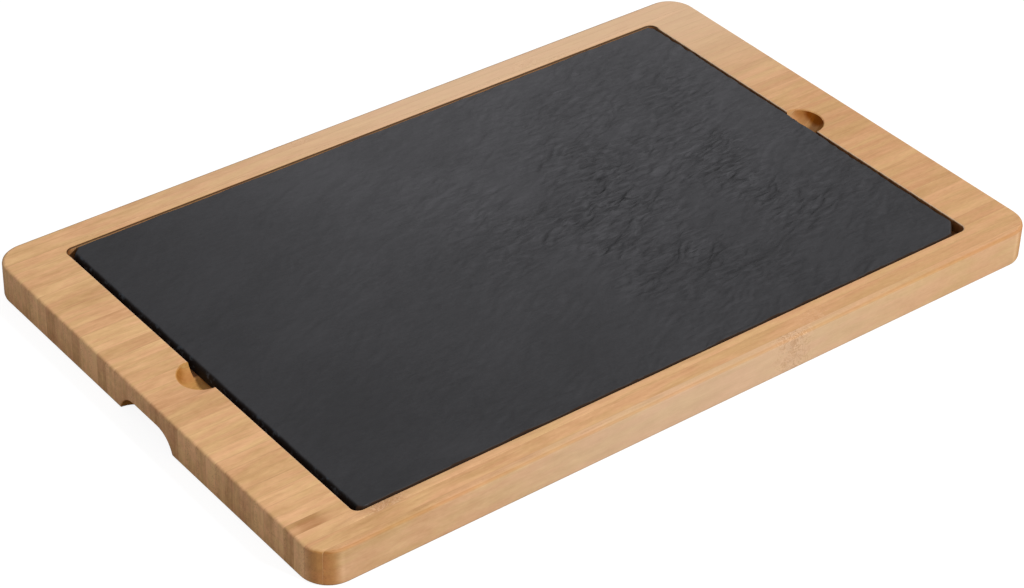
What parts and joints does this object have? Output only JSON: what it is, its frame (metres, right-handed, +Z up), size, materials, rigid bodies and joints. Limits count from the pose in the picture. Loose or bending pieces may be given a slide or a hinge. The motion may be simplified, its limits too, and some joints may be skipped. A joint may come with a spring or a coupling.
{
  "type": "serving board",
  "caption": "Rectangular bamboo serving board of glued strips with rounded corners, finger grips under its ends and a recess for a loose slate plate that lifts out at finger scoops.",
  "frame": {"origin": "middle of the underside", "axes": "+X along the bamboo strips and the long sides, +Y across the width to the back, +Z up out of the slate"},
  "size_m": [0.33, 0.211, 0.015],
  "materials": {
    "bamboo": "sanded and oiled, satin",
    "slate": "split along its cleft, matt"
  },
  "bodies": {
    "board": {"bamboo_strip_01": "bamboo", "bamboo_strip_02": "bamboo", "bamboo_strip_03": "bamboo", "bamboo_strip_04": "bamboo", "bamboo_strip_05": "bamboo", "bamboo_strip_06": "bamboo", "bamboo_strip_07": "bamboo", "bamboo_strip_08": "bamboo", "bamboo_strip_09": "bamboo", "bamboo_strip_10": "bamboo", "bamboo_strip_11": "bamboo", "bamboo_strip_12": "bamboo", "bamboo_strip_13": "bamboo", "bamboo_strip_14": "bamboo", "bamboo_strip_15": "bamboo", "bamboo_strip_16": "bamboo", "bamboo_strip_17": "bamboo", "bamboo_strip_18": "bamboo", "bamboo_strip_19": "bamboo", "bamboo_strip_20": "bamboo", "bamboo_strip_21": "bamboo", "bamboo_strip_22": "bamboo", "bamboo_strip_23": "bamboo", "bamboo_strip_24": "bamboo", "bamboo_strip_25": "bamboo", "bamboo_strip_26": "bamboo", "bamboo_strip_27": "bamboo", "bamboo_strip_28": "bamboo", "bamboo_strip_29": "bamboo", "bamboo_strip_30": "bamboo", "bamboo_strip_31": "bamboo", "bamboo_strip_32": "bamboo", "bamboo_strip_33": "bamboo", "bamboo_strip_34": "bamboo", "bamboo_strip_35": "bamboo", "bamboo_strip_36": "bamboo", "bamboo_strip_37": "bamboo"},
    "slate": {"slate_plate": "slate"}
  },
  "joints": [
    {"name": "slate_lift", "type": "slide", "parent": "board", "child": "slate", "axis": [0, 0, 1], "range_m": [0, 0.06]}
  ]
}
